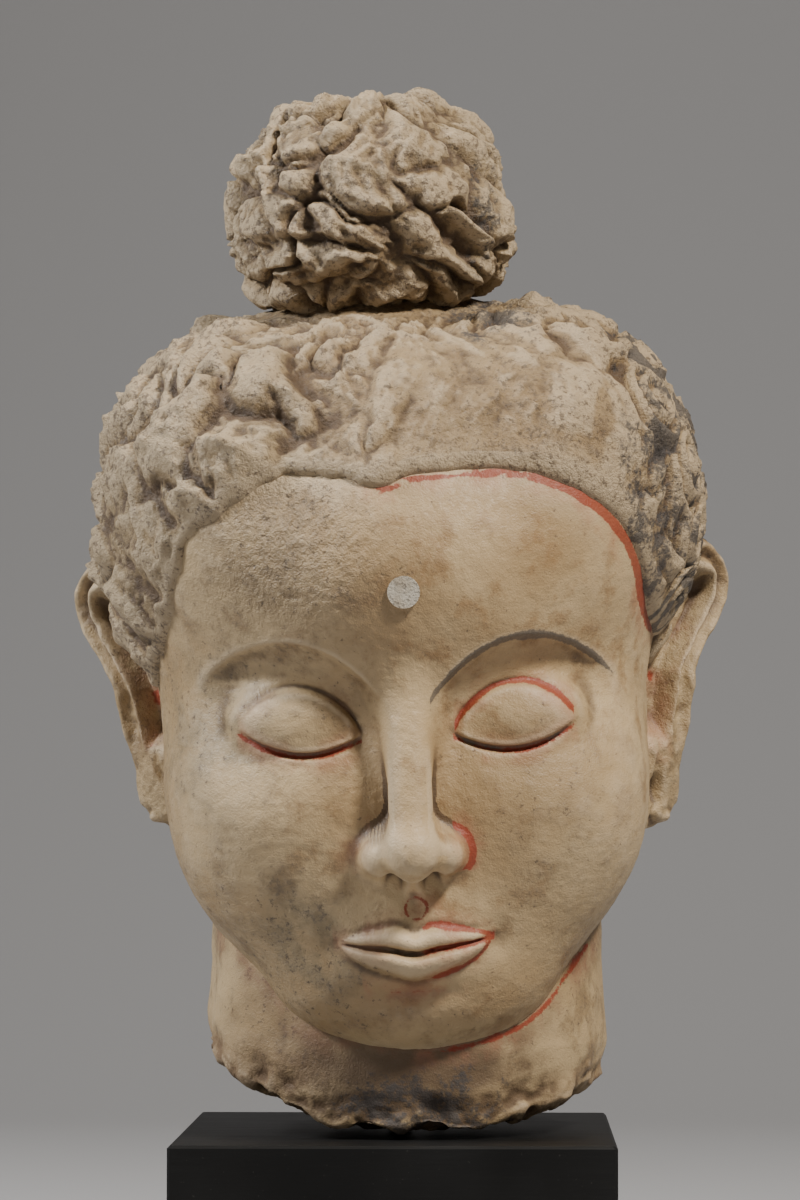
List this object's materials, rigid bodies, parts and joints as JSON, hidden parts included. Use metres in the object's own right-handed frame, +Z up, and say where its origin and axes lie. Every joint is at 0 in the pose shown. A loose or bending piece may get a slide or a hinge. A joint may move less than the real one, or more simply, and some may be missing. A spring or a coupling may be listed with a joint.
{
  "type": "stucco buddha head",
  "caption": "Life-size-plus head of a Buddha in painted stucco, with wavy hair and bun, long ears and a broken neck, held by a rod on a black block.",
  "frame": {"origin": "middle of the flat underside of the black block", "axes": "+Z up, -Y towards the viewer, where the face looks, +X to the viewer's right"},
  "size_m": [0.2917, 0.2612, 0.5457],
  "materials": {
    "stucco": "matt lime plaster, cream to buff with ochre stains, worn red, grey and black paint",
    "gypsum": "matt white plaster with dark grit",
    "dark_steel": "darkened steel rod",
    "black_paint": "satin black paint on wood"
  },
  "bodies": {
    "root": {"buddha_head": "stucco", "urna_dot": "gypsum", "mount_rod": "dark_steel", "mount_block": "black_paint"}
  },
  "joints": []
}
